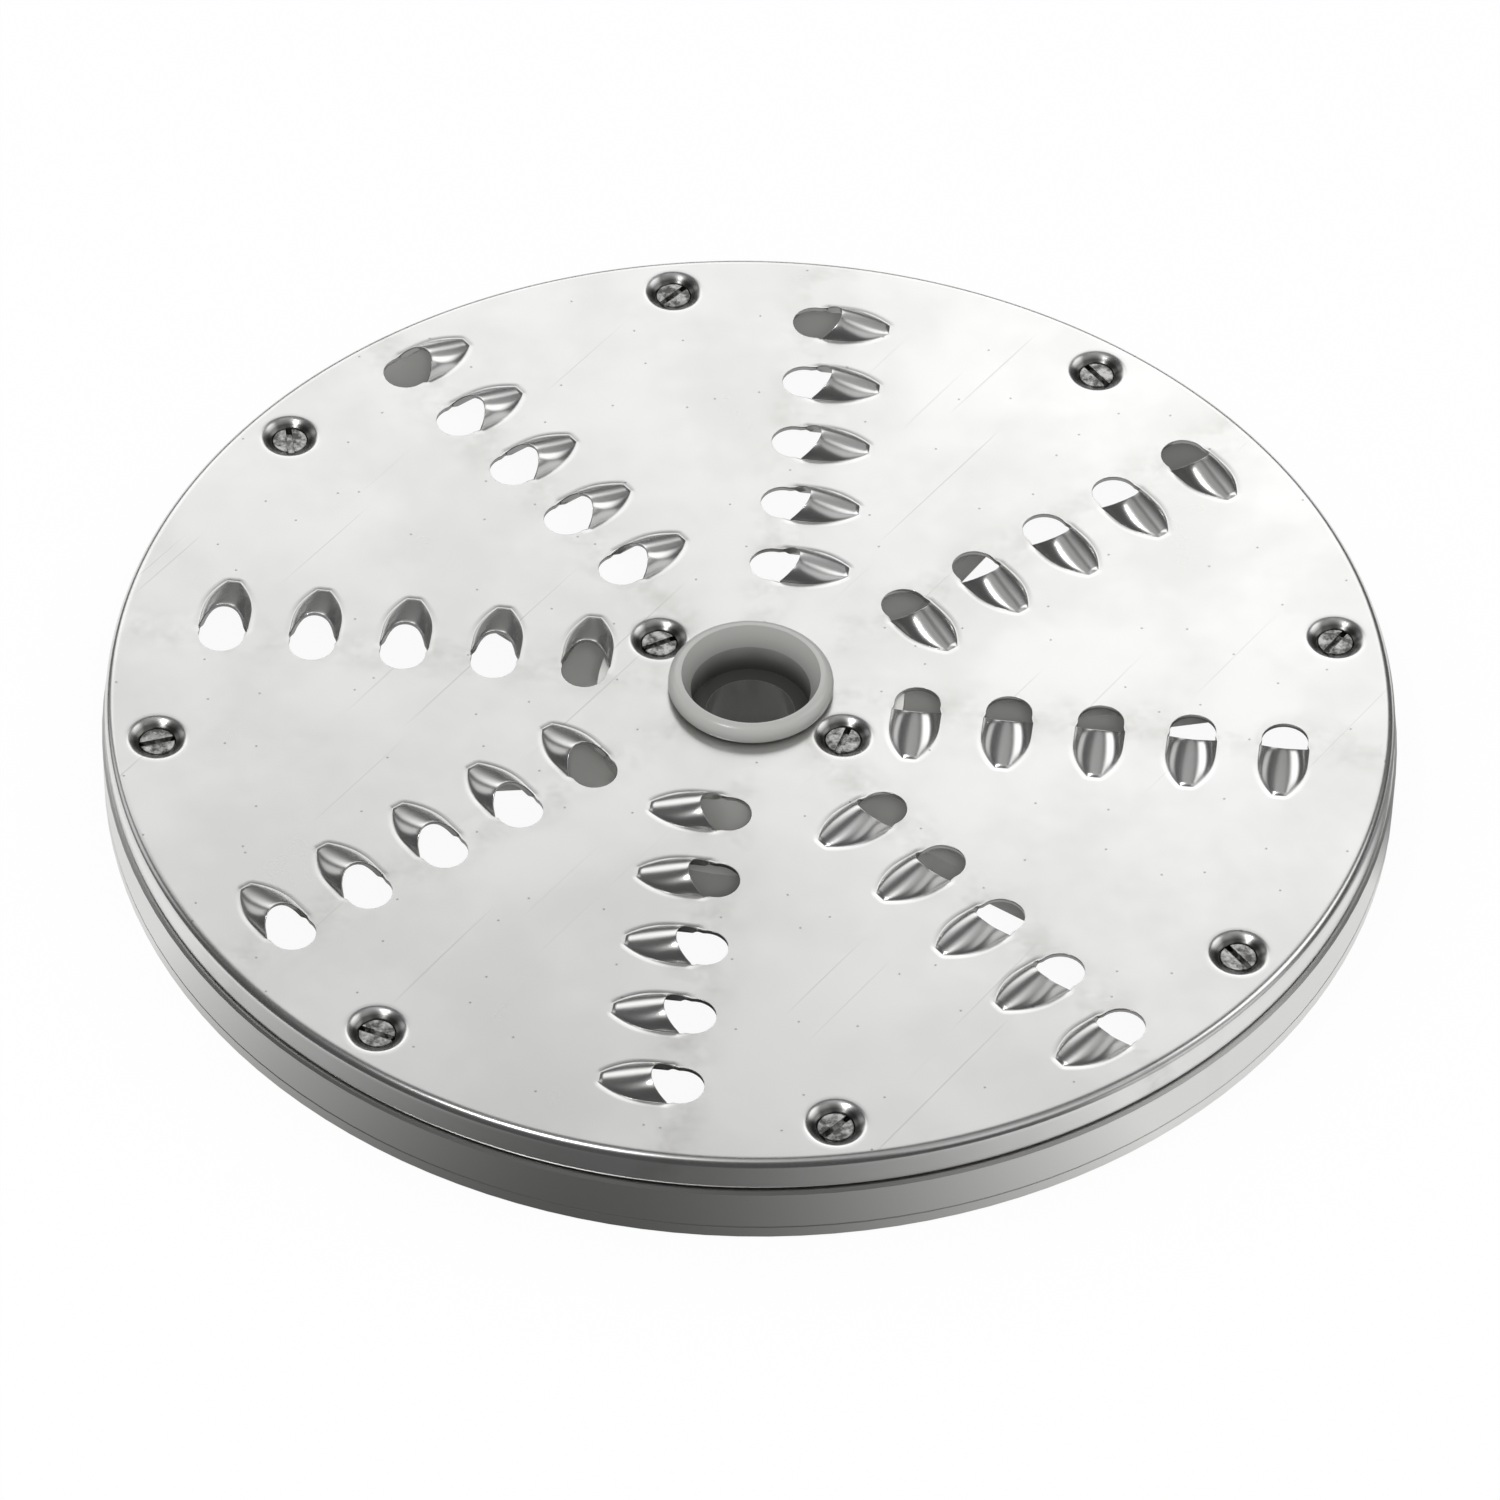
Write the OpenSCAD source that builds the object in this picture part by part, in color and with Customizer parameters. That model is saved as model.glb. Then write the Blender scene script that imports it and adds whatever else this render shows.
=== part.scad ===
// Grating disc of a vegetable cutter. A toothed steel plate is screwed to a cast carrier with
// eight spokes, and a plastic bush lines the hub. The origin is the centre of the bottom face,
// and +Z points up through the teeth.

/* [Carrier] */
// Outer diameter of the cast ring
ring_od = 205; // [202:0.5:212]
// Radial thickness of the ring
ring_wall = 6; // [5:0.5:7]
// Height of the ring's wide outer band
ring_band_h = 10; // [8:0.5:10]
// Small chamfer on the ring's outer edges
ring_edge = 0.4; // [0.2:0.1:0.8]
// Height of the turned line above the ring's bottom edge
turned_line_z = 2.5; // [1.5:0.1:5]
// Depth of the turned line
turned_line_depth = 0.15; // [0.1:0.05:0.3]
// Number of spokes, with one rim screw over the end of each
spoke_count = 8; // [8:1:8]
// Width of a spoke where it leaves the hub flange
spoke_root_w = 10; // [8:0.5:14]
// Width of a spoke where it meets the ring
spoke_tip_w = 3.2; // [2.6:0.2:6]
// Thickness of the spokes
spoke_h = 4.6; // [4:0.2:7]
// How far the spokes and the flange sit above the ring's bottom face
spoke_rise = 2; // [0.5:0.5:4]
// Diameter of the low flange round the hub boss
flange_d = 66.4; // [60:0.4:70]
// How much thicker the flange is than the spokes, on each side
flange_step = 0.5; // [0.3:0.1:1]
// Radius of the screw bosses inside the ring
rim_boss_r = 4.6; // [4:0.2:5]
// Metal between a hub screw's pocket and the hub boss's side
boss_wall = 1.5; // [1:0.5:3]

/* [Grating plate] */
// Height of the plate's flat face above the ring's bottom face
plate_z = 15.8; // [15:0.1:18]
// Thickness of the steel sheet
sheet = 0.8; // [0.6:0.1:1]
// How far the plate's skirt stands in from the ring's outer face
plate_inset = 0.6; // [0.4:0.1:1]
// Outer radius of the bend between the face and the skirt
bend_r = 1.5; // [1.2:0.1:2]

/* [Teeth] */
// Number of tooth rows
row_count = 8; // [4:4:8]
// Number of teeth in a row
teeth_per_row = 5; // [3:1:5]
// Distance from tooth to tooth along a row
tooth_pitch = 14.54; // [14:0.02:14.8]
// How far each row of four is stepped inwards from the outermost row
row_step = [7.2, 2.7, 5.4, 0]; // [0:0.1:8]
// Distance from the ring's inner face to the outermost tooth's centre line
tooth_edge = 4.6; // [4.5:0.1:6]
// Diameter of a tooth's round hole
hole_d = 7.3; // [6:0.1:8]
// Width of a hood at its mouth
hood_w = 7.9; // [7:0.1:9]
// Height of the hood's cutting edge above the face
hood_h = 2.6; // [1.5:0.1:3]
// Distance from the hole's centre back to the middle of the cutting edge
mouth_back = 4.4; // [4:0.1:5]
// Distance from the hole's centre to where the hood starts at its sides
mouth_side = 1.5; // [1:0.1:2]
// Distance from the hole's centre to the hood's tail
tail_back = 12.2; // [11:0.1:12.6]
// Width of the hood's blunt tail
tail_w = 2.2; // [1.5:0.1:3]

/* [Hub bush] */
// Outer diameter of the bush inside the hub
bush_d = 23; // [22:0.5:24]
// Diameter of the bush's rounded lip
lip_d = 26.2; // [26:0.1:26.6]
// Height of the lip above the plate
lip_h = 3; // [3:0.1:4]
// Radius of the lip's outer rounding
lip_round = 1.8; // [1:0.1:1.8]
// Radius of the rounding under the lip
lip_under = 1; // [0.3:0.1:1]
// Diameter of the mouth inside the lip
mouth_d = 22; // [21:0.1:22]
// Diameter of the wide bore below the mouth's chamfer
bore_d = 19; // [17:0.1:20]
// Depth of the mouth's chamfer
mouth_chamfer = 3.4; // [2:0.1:5]
// Diameter of the shaft bore
shaft_d = 14; // [10:0.1:15]
// Length of the shaft bore
shaft_bore_h = 10.5; // [8:0.5:11]
// Width of the slot for the drive pin
pin_slot_w = 5; // [3:0.5:7]
// Depth of the slot for the drive pin
pin_slot_h = 5; // [3:0.5:6]

/* [Screws] */
// Distance from the ring's outer face to the rim screws' centres
rim_screw_inset = 8.5; // [8.3:0.1:9]
// Diameter of the circle that the two hub screws sit on
hub_screw_circle_d = 36; // [36:0.1:37]
// Diameter of a screw's head
head_d = 5.6; // [5:0.1:6]
// Thickness of the head's cylindrical edge
head_land = 0.25; // [0.1:0.05:0.4]
// Diameter of a screw's shank
shank_d = 3; // [2.5:0.1:3.2]
// Length of a screw from the top of its head
screw_l = 10; // [8:0.5:11]
// Width of the screwdriver slot
slot_w = 1; // [0.8:0.1:1.2]
// Depth of the screwdriver slot
slot_depth = 0.8; // [0.5:0.1:1]
// How far a head lies below the plate's face
head_sink = 0.9; // [0.6:0.1:1.2]
// Diameter of the pressed dimple round a screw
dimple_d = 9.6; // [9:0.1:10]
// Directions in which the rim screws' slots came to rest
rim_slot_turns = [55, -53, 48, 98, 17, -22, 46, -53]; // [-180:1:180]
// Directions in which the hub screws' slots came to rest
hub_slot_turns = [28, 72]; // [-180:1:180]

/* [Layout] */
// Direction of the first tooth row
row_turn = -6.1; // [-20:0.1:5]
// Direction of the first spoke and rim screw
spoke_turn = 8.8; // [0:0.1:20]
// Direction of the first hub screw
hub_screw_turn = 144.8; // [140:0.1:150]
// Clearance between pieces that slide together
fit_gap = 0.1; // [0.05:0.05:0.2]

/* [Hidden] */
$fn = 96;
cut = 1;
bevel_step = 0.5;
boss_drop = 0.5;
head_edge = 0.1;
tip_edge = 0.4;
tail_end = 0.1;
fall_power = 1.9;
rim_names = [for (i = [1:8]) str("rim_screw_", i)];
hub_names = [for (i = [1:2]) str("hub_screw_", i)];

ring_r = ring_od / 2;
ring_inner_r = ring_r - ring_wall;
plate_r = ring_r - plate_inset;
skirt_z = ring_band_h + 3 * fit_gap;
rim_screw_r = ring_r - rim_screw_inset;
hub_screw_r = hub_screw_circle_d / 2;
dimple_r = dimple_d / 2;
hub_boss_r = hub_screw_r + dimple_r + boss_wall;
seat_side_r = plate_r - sheet - fit_gap;
seat_bevel = bend_r - bevel_step;
seat_edge_r = seat_side_r - seat_bevel;
bush_hole_r = bush_d / 2 + fit_gap;
head_r = head_d / 2;
shank_r = shank_d / 2;
head_cone_h = head_r - shank_r;
screw_hole_r = shank_r + fit_gap;
screw_hole_depth = screw_l + 1;
seat_r = head_r + fit_gap;
dimple_floor = head_sink + head_land + seat_r - screw_hole_r;
pocket_r = dimple_r + sheet / 2 + 3 * fit_gap;
pocket_depth = dimple_floor + sheet + fit_gap;
outer_tooth_r = ring_inner_r - tooth_edge;
hood_axis_z = ((hood_w / 2) ^ 2 - hood_h ^ 2) / (2 * hood_h);
hood_body_r = hood_axis_z + hood_h;
tail_r = sqrt((tail_w / 2) ^ 2 + hood_axis_z ^ 2);
hood_steps = 4;

// Distance of a tooth from the axis, for its row and its place in the row from the rim
function tooth_r(row, place) = outer_tooth_r - row_step[row % 4] - tooth_pitch * place;

// Radius of the bullet that a hood is cut from, falling away towards the tail
function bullet_r(x) =
    let (s = max(0, (x - mouth_back) / (tail_back - mouth_back)))
    tail_r + (hood_body_r - tail_r) * (1 - s ^ fall_power);

// Section of the pan, filled down to its open side, drawn in by an inset from the outer face
module pan_section(inset, open_z) {
    side_r = plate_r - inset;
    corner_r = bend_r - inset;
    polygon([
        [0, open_z],
        [side_r, open_z],
        [side_r, plate_z - bend_r],
        [plate_r - bend_r, plate_z - inset],
        [0, plate_z - inset]
    ]);
    translate([plate_r - bend_r, plate_z - bend_r])
        circle(r = corner_r);
}

// The pressed sheet before its teeth and dimples
module pan() {
    rotate_extrude($fn = 180)
        difference() {
            pan_section(0, skirt_z);
            pan_section(sheet, skirt_z - cut);
            translate([-cut, plate_z - 2 * sheet])
                square([bush_hole_r + cut, 4 * sheet]);
        }
}

// The bullet of revolution lying along +X, with its wall drawn in by an inset
module bullet(inset, from_x) {
    step = (tail_back - mouth_back) / hood_steps;
    flank = [for (i = [0:hood_steps]) [bullet_r(mouth_back + i * step) - inset, mouth_back + i * step - inset]];
    translate([0, 0, -hood_axis_z])
        rotate([0, 90, 0])
            rotate_extrude()
                polygon(concat(
                    [[0, from_x], [hood_body_r - inset, from_x]],
                    flank,
                    [[0, tail_back + tail_end - inset]]
                ));
}

// A raised hood, starting inside the sheet, with its mouth cut by a plane that leans back
module hood() {
    lean = (mouth_back - mouth_side) / hood_h;
    base_z = -sheet / 2;
    top_z = hood_h + cut;
    difference() {
        intersection() {
            bullet(0, 0);
            translate([0, hood_w, 0])
                rotate([90, 0, 0])
                    linear_extrude(2 * hood_w)
                        polygon([
                            [mouth_side + lean * base_z, base_z],
                            [2 * tail_back, base_z],
                            [2 * tail_back, top_z],
                            [mouth_side + lean * top_z, top_z]
                        ]);
        }
        bullet(sheet, -cut);
    }
}

// What a tooth removes from the sheet: its round hole and the throat under the hood
module tooth_cut() {
    translate([0, 0, -2 * sheet])
        cylinder(d = hole_d, h = 4 * sheet);
    bullet(sheet, 0);
}

// Puts its children at every tooth, with +X along the way the tooth trails
module at_teeth() {
    for (row = [0:row_count - 1])
        for (place = [0:teeth_per_row - 1])
            rotate([0, 0, row_turn + row * 360 / row_count])
                translate([tooth_r(row, place), 0, plate_z])
                    rotate([0, 0, -90])
                        children();
}

// Puts its children at one rim screw, on the plate's face
module at_rim_screw(i) {
    rotate([0, 0, spoke_turn + i * 360 / spoke_count])
        translate([rim_screw_r, 0, plate_z])
            children();
}

// Puts its children at one hub screw, on the plate's face
module at_hub_screw(i) {
    rotate([0, 0, hub_screw_turn + i * 180])
        translate([hub_screw_r, 0, plate_z])
            children();
}

// Puts its children at all ten screws
module at_screws() {
    for (i = [0:7])
        at_rim_screw(i) children();
    for (i = [0:1])
        at_hub_screw(i) children();
}

// Body of a dimple: a wide flare down to the head's edge, then the cone under the head
module dimple_body(inset, top) {
    flare = (dimple_r - seat_r) / head_sink;
    rotate_extrude()
        polygon([
            [0, top],
            [dimple_r + inset / 2 + flare * (top + inset), top],
            [seat_r + inset / 2, -head_sink - inset],
            [seat_r + inset / 2, -head_sink - head_land - inset],
            [screw_hole_r + inset / 2, -dimple_floor - inset],
            [0, -dimple_floor - inset]
        ]);
}

// Round hole that a screw's shank passes through
module screw_hole() {
    translate([0, 0, -screw_hole_depth - head_sink])
        cylinder(r = screw_hole_r, h = screw_hole_depth + head_sink);
}

module grating_plate() {
    color("gainsboro")
        difference() {
            union() {
                difference() {
                    pan();
                    at_teeth() tooth_cut();
                }
                at_teeth() hood();
                at_screws() dimple_body(sheet, -sheet / 2);
            }
            at_screws() dimple_body(0, cut);
            at_screws() screw_hole();
        }
}

// The ring's section: a wide band below the skirt and a narrower seat inside it
module ring_section() {
    seat_top = plate_z - sheet;
    difference() {
        polygon([
            [ring_inner_r, 0],
            [ring_r - ring_edge, 0],
            [ring_r, ring_edge],
            [ring_r, ring_band_h - ring_edge],
            [ring_r - ring_edge, ring_band_h],
            [seat_side_r, ring_band_h],
            [seat_side_r, seat_top - seat_bevel],
            [seat_edge_r, seat_top],
            [ring_inner_r, seat_top]
        ]);
        polygon([
            [ring_r - turned_line_depth, turned_line_z],
            [ring_r + cut, turned_line_z - turned_line_depth - cut],
            [ring_r + cut, turned_line_z + turned_line_depth + cut]
        ]);
    }
}

// One tapered spoke from the flange to the ring
module spoke() {
    flange_r = flange_d / 2;
    root_r = hub_boss_r + cut;
    end_r = ring_inner_r + ring_wall / 2;
    translate([0, 0, spoke_rise])
        linear_extrude(spoke_h)
            polygon([
                [root_r, -spoke_root_w / 2],
                [flange_r, -spoke_root_w / 2],
                [ring_inner_r, -spoke_tip_w / 2],
                [end_r, -spoke_tip_w / 2],
                [end_r, spoke_tip_w / 2],
                [ring_inner_r, spoke_tip_w / 2],
                [flange_r, spoke_root_w / 2],
                [root_r, spoke_root_w / 2]
            ]);
}

module carrier() {
    rim_boss_h = plate_z - pocket_depth - boss_drop;
    color("lightgray")
        difference() {
            union() {
                rotate_extrude($fn = 180) ring_section();
                for (i = [0:spoke_count - 1])
                    rotate([0, 0, spoke_turn + i * 360 / spoke_count]) {
                        spoke();
                        translate([rim_screw_r, 0, 0])
                            cylinder(r = rim_boss_r, h = rim_boss_h);
                    }
                translate([0, 0, spoke_rise - flange_step])
                    cylinder(d = flange_d, h = spoke_h + 2 * flange_step);
                cylinder(r = hub_boss_r, h = plate_z - sheet);
            }
            translate([0, 0, -cut])
                cylinder(r = bush_hole_r, h = plate_z + 2 * cut);
            at_screws()
                translate([0, 0, -pocket_depth])
                    cylinder(r = pocket_r, h = pocket_depth);
            at_screws() screw_hole();
        }
}

module hub_bush() {
    lip_r = lip_d / 2;
    mouth_radius = mouth_d / 2;
    lip_top = plate_z + lip_h;
    crest_r = lip_r - lip_round;
    under_r = lip_r - lip_under;
    color("darkgray")
        difference() {
            rotate_extrude() {
                difference() {
                    union() {
                        translate([shaft_d / 2, 0])
                            square([(bush_d - shaft_d) / 2, plate_z]);
                        translate([shaft_d / 2, plate_z])
                            square([under_r - shaft_d / 2, lip_under]);
                        intersection() {
                            translate([under_r, plate_z + lip_under])
                                circle(r = lip_under);
                            translate([0, plate_z - cut])
                                square([lip_d, lip_under + cut]);
                        }
                        translate([shaft_d / 2, plate_z + lip_under])
                            square([lip_r - shaft_d / 2, lip_h - lip_round - lip_under]);
                        translate([shaft_d / 2, lip_top - lip_round])
                            square([crest_r - shaft_d / 2, lip_round]);
                        intersection() {
                            translate([crest_r, lip_top - lip_round])
                                circle(r = lip_round);
                            translate([0, lip_top - lip_round])
                                square([lip_d, lip_round + cut]);
                        }
                    }
                    polygon([
                        [0, shaft_bore_h],
                        [bore_d / 2, shaft_bore_h],
                        [bore_d / 2, lip_top - mouth_chamfer],
                        [mouth_radius, lip_top],
                        [mouth_radius, lip_top + cut],
                        [0, lip_top + cut]
                    ]);
                }
            }
            translate([-bush_d, -pin_slot_w / 2, -cut])
                cube([2 * bush_d, pin_slot_w, pin_slot_h + cut]);
        }
}

// Slotted countersunk screw, with the middle of its head's top at the origin
module slotted_screw(slot_turn) {
    color("silver")
        difference() {
            rotate_extrude($fn = 48)
                polygon([
                    [0, 0],
                    [head_r - head_edge, 0],
                    [head_r, -head_edge],
                    [head_r, -head_land],
                    [shank_r, -head_land - head_cone_h],
                    [shank_r, -screw_l + tip_edge],
                    [shank_r - tip_edge, -screw_l],
                    [0, -screw_l]
                ]);
            rotate([0, 0, slot_turn])
                translate([-head_d, -slot_w / 2, -slot_depth])
                    cube([2 * head_d, slot_w, slot_depth + cut]);
        }
}

module rim_screw(i) {
    at_rim_screw(i)
        translate([0, 0, -head_sink])
            rotate([0, 0, -spoke_turn - i * 360 / spoke_count])
                slotted_screw(rim_slot_turns[i]);
}

module hub_screw(i) {
    at_hub_screw(i)
        translate([0, 0, -head_sink])
            rotate([0, 0, -hub_screw_turn - i * 180])
                slotted_screw(hub_slot_turns[i]);
}

grating_plate();
carrier();
hub_bush();
for (i = [0:7]) rim_screw(i);
for (i = [0:1]) hub_screw(i);
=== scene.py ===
# Grating disc of a vegetable cutter, dressed for its photograph.
# Sizes are millimetres in the disc's own frame until mm turns them into metres. The lamps and the
# camera are placed in metres.

import math
import bpy
import numpy as np
from mathutils import Matrix, Vector, geometry


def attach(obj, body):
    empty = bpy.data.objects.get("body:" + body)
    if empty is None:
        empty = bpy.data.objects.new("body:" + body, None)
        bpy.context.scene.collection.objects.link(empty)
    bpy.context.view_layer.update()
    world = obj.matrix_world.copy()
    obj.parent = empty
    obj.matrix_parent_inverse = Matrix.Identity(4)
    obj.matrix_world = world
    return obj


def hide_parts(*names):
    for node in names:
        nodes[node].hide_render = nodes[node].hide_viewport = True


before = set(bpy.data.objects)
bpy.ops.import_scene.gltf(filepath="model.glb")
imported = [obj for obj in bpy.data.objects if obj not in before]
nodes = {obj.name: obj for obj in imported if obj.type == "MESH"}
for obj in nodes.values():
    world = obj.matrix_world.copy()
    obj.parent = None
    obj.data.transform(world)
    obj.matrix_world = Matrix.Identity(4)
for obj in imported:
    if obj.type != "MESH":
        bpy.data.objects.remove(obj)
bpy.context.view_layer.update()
print("frame loaded,", len(nodes), "pieces")

mm = 0.001
faceZ = 15.8  # height of the plate's flat face over the ring's bottom


# Mesh helpers

# Quads between neighbouring rows and columns of a grid whose vertices run row by row
def gridQuads(rows, cols, closed=False):
    index = np.arange(rows * cols).reshape(rows, cols)
    if closed:
        index = np.concatenate([index, index[:, :1]], axis=1)
    quads = np.stack([index[:-1, :-1], index[:-1, 1:], index[1:, 1:], index[1:, :-1]], axis=-1)
    return quads.reshape(-1, 4)


# A profile of (radius, height) pairs turned about the Z axis: x = r cos a, y = r sin a, z = height
def turnProfile(profile, steps):
    profile = np.array(profile, dtype=float)
    angle = np.linspace(0, 2 * math.pi, steps, endpoint=False)
    radius = profile[:, 0][:, None]
    verts = np.stack([
        radius * np.cos(angle),
        radius * np.sin(angle),
        np.broadcast_to(profile[:, 1][:, None], (len(profile), steps)),
    ], axis=-1)
    return verts.reshape(-1, 3), gridQuads(len(profile), steps, closed=True)


# Points of an arc in a profile: centre plus radius times (cos, sin) from one angle to another
def arcPoints(centreR, centreZ, radius, fromDeg, toDeg, steps):
    angle = np.radians(np.linspace(fromDeg, toDeg, steps + 1))
    return list(zip(centreR + radius * np.cos(angle), centreZ + radius * np.sin(angle)))


# Puts vertices in millimetres and lists of faces into one object, with doubles merged
def makePiece(name, parts, mergeBelow=0.004):
    verts = []
    faces = []
    start = 0
    for partVerts, partFaces in parts:
        verts.append(np.asarray(partVerts))
        faces.extend((np.asarray(partFaces) + start).tolist())
        start += len(partVerts)
    mesh = bpy.data.meshes.new(name)
    mesh.from_pydata((np.concatenate(verts) * mm).tolist(), [], faces)
    mesh.validate()
    mesh.polygons.foreach_set("use_smooth", np.ones(len(mesh.polygons), dtype=bool))
    piece = bpy.data.objects.new(name, mesh)
    bpy.context.scene.collection.objects.link(piece)
    weld = piece.modifiers.new("weld", "WELD")
    weld.merge_threshold = mergeBelow * mm
    return piece


# Toothed plate: one sheet whose upper side is worked out here and which gets its thickness after

tooth = {
    "holeR": 3.65,        # round hole in front of the hood
    "mouthSide": 1.5,     # where the hood starts at its sides, back from the hole's centre
    "mouthBack": 4.4,     # where the cutting edge has its top
    "hoodH": 2.6,
    "hoodHalf": 3.9,      # half the hood's width at its mouth
    "tailBack": 12.2,
    "tailHalf": 1.0,
    "tailH": 0.12,
    "sideAngle": 66.7,    # slope of the hood's sides where they meet the sheet
    "narrow": 2.3,        # power by which the hood narrows towards its tail
    "fall": 1.05,         # power by which its top falls away
    "edgeShare": 0.25,    # thickness of the cutting edge and of the hole's, as a share of the sheet's
    "rowsAlong": 14,
    "firstRow": 0.012,    # row behind the cutting edge, as a share of the hood's length
    "colsAcross": 17,
    "outermost": 0.965,   # column before the hood's foot, as a share of half the arc
    "frontSteps": 20,     # round the hole's edge
    "flareDeg": 14,       # over this angle the hole's edge flares out to the corners of the mouth
    "ringOut": [0.10, 0.30, 1.1],   # how far out the rings round the tooth lie
    "ringUp": [-0.04, 0.0, 0.0],    # and how high they are beside the hood
}

# The plate's layout, with its turns in degrees
plate = {
    "rowTurn": -6.1,
    "outerToothR": 91.9,
    "pitch": 14.54,
    "rowStep": [7.2, 2.7, 5.4, 0],  # how far inwards a row is shifted, the same every four rows
    "rows": 8,
    "teethPerRow": 5,
    "toothTurn": -90,     # the teeth stand across their row
    "rimScrews": 8,
    "rimScrewR": 94.0,
    "rimScrewTurn": 8.8,
    "hubScrews": 2,
    "hubScrewR": 18.0,
    "hubScrewTurn": 144.8,
    "boreRings": [12.6, 11.7, 11.6],
    "webR": 100.1,        # the flat web ends here, just inside the bend
    "outerR": 101.9,
    "bendR": 1.5,
    "bendSteps": 10,
    "skirt": [(0, 12.8), (0, 11.5), (0.03, 11.0), (0.12, 10.62), (0.3, 10.3)],  # (inwards, height)
    "sheet": 0.8,
    "edgeBevel": 0.05,
    "bevelFromDeg": 50,
    "rimSteps": 240,
    "boreSteps": 96,
}

# Dimple that is pressed into the plate for each screw
dimple = {
    "steps": 48,
    "profile": [(5.6, 0), (5.0, 0), (4.75, -0.015), (4.52, -0.07), (4.25, -0.19), (3.9, -0.39),
                (3.5, -0.62), (3.15, -0.82), (2.98, -0.93), (2.9, -1.02),
                (2.9, -1.15), (1.6, -2.45), (1.6, -2.7)],  # (radius, height over the face)
}


# The hood's upper side as a grid of rows from mouth to tail. Across it runs an arc whose half width
# w and height h both fall by a power of the way from mouth to tail: y = w sin a / sin s and
# z = h (cos a - cos s) / (1 - cos s), with a from -s to s, the slope of its sides. Along it, x runs
# from a mouth plane that leans back to the tail.
def hoodGrid():
    t = tooth
    side = math.radians(t["sideAngle"])
    inner = np.linspace(-t["outermost"], t["outermost"], t["colsAcross"] - 1)
    v = np.concatenate([[-1], inner, [1]])
    u = np.concatenate([[0, t["firstRow"]], np.linspace(0, 1, t["rowsAlong"] + 1)[1:]])[:, None]
    arc = (np.cos(v * side) - math.cos(side)) / (1 - math.cos(side))
    mouthX = t["mouthSide"] + (t["mouthBack"] - t["mouthSide"]) * arc
    x = mouthX + u * (t["tailBack"] - mouthX)
    way = np.clip((x - t["mouthBack"]) / (t["tailBack"] - t["mouthBack"]), 0, 1)
    half = t["tailHalf"] + (t["hoodHalf"] - t["tailHalf"]) * (1 - way ** t["narrow"])
    high = t["tailH"] + (t["hoodH"] - t["tailH"]) * (1 - way ** t["fall"])
    y = half * np.sin(v * side) / math.sin(side)
    return np.stack([x, y, high * arc], axis=-1)


# The round hole's edge from one corner of the mouth to the other: r = holeR, and near the corners
# it grows with the square of the nearness to meet them
def holeEdge():
    t = tooth
    cornerAngle = math.atan2(t["hoodHalf"], t["mouthSide"])
    cornerR = math.hypot(t["hoodHalf"], t["mouthSide"])
    turn = np.linspace(-cornerAngle, cornerAngle - 2 * math.pi, t["frontSteps"] + 1)[1:-1]
    nearCorner = np.minimum(np.abs(turn) - cornerAngle, 2 * math.pi - cornerAngle - np.abs(turn))
    flare = np.clip(1 - nearCorner / math.radians(t["flareDeg"]), 0, 1) ** 2
    edgeR = t["holeR"] + (cornerR - t["holeR"]) * flare
    return np.stack([edgeR * np.cos(turn), edgeR * np.sin(turn), np.zeros(len(turn))], axis=-1)


# The hood and the rings that step outwards from its foot and from the hole, each as vertices, faces
# and the share of the sheet's thickness at each vertex, and the outermost ring
def toothSurface():
    t = tooth
    hood = hoodGrid()
    rows, cols = hood.shape[:2]
    hoodShare = np.ones((rows, cols))
    hoodShare[:2] = t["edgeShare"]
    hoodPart = (hood.reshape(-1, 3), gridQuads(rows, cols)[:, ::-1], hoodShare.ravel())

    # The inmost ring runs along the hood's far side to its tail, across it, back and round the hole
    foot = np.concatenate([hood[:, -1], hood[-1, -2:0:-1], hood[::-1, 0]])
    loop = np.concatenate([foot, holeEdge()])
    along = np.roll(loop, -1, axis=0) - np.roll(loop, 1, axis=0)
    outward = np.stack([-along[:, 1], along[:, 0], np.zeros(len(loop))], axis=-1)
    outward /= np.linalg.norm(outward, axis=1)[:, None]
    onHood = (np.arange(len(loop)) < len(foot)).astype(float)
    rings = [loop]
    for out, up in zip(t["ringOut"], t["ringUp"]):
        ring = loop + outward * out
        ring[:, 2] = up * onHood
        rings.append(ring)
    ringVerts = np.concatenate(rings)
    ringShare = np.ones(len(ringVerts))
    ringShare[len(foot):len(loop)] = t["edgeShare"]
    ringPart = (ringVerts, gridQuads(len(rings), len(loop), closed=True), ringShare)
    return hoodPart, ringPart, rings[-1]


# Where a tooth or dimple goes: its own turn, then along X to its radius, then round the Z axis, and
# up to the plate's face
def placed(verts, turnDeg, outR, ownTurnDeg=0):
    own = math.radians(ownTurnDeg)
    c, s = math.cos(own), math.sin(own)
    x = c * verts[:, 0] - s * verts[:, 1] + outR
    y = s * verts[:, 0] + c * verts[:, 1]
    turn = math.radians(turnDeg)
    c, s = math.cos(turn), math.sin(turn)
    return np.stack([c * x - s * y, s * x + c * y, verts[:, 2] + faceZ], axis=-1)


# True for the points inside a closed outline, by counting crossings of a ray along X
def insideOutline(points, outline):
    x, y = points[:, 0][:, None], points[:, 1][:, None]
    x0, y0 = outline[:, 0], outline[:, 1]
    x1, y1 = np.roll(x0, -1), np.roll(y0, -1)
    spans = (y0 > y) != (y1 > y)
    rise = np.where(y1 == y0, 1, y1 - y0)
    crossX = x0 + (y - y0) * (x1 - x0) / rise
    return (np.sum(spans & (x < crossX), axis=1) % 2) == 1


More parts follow.
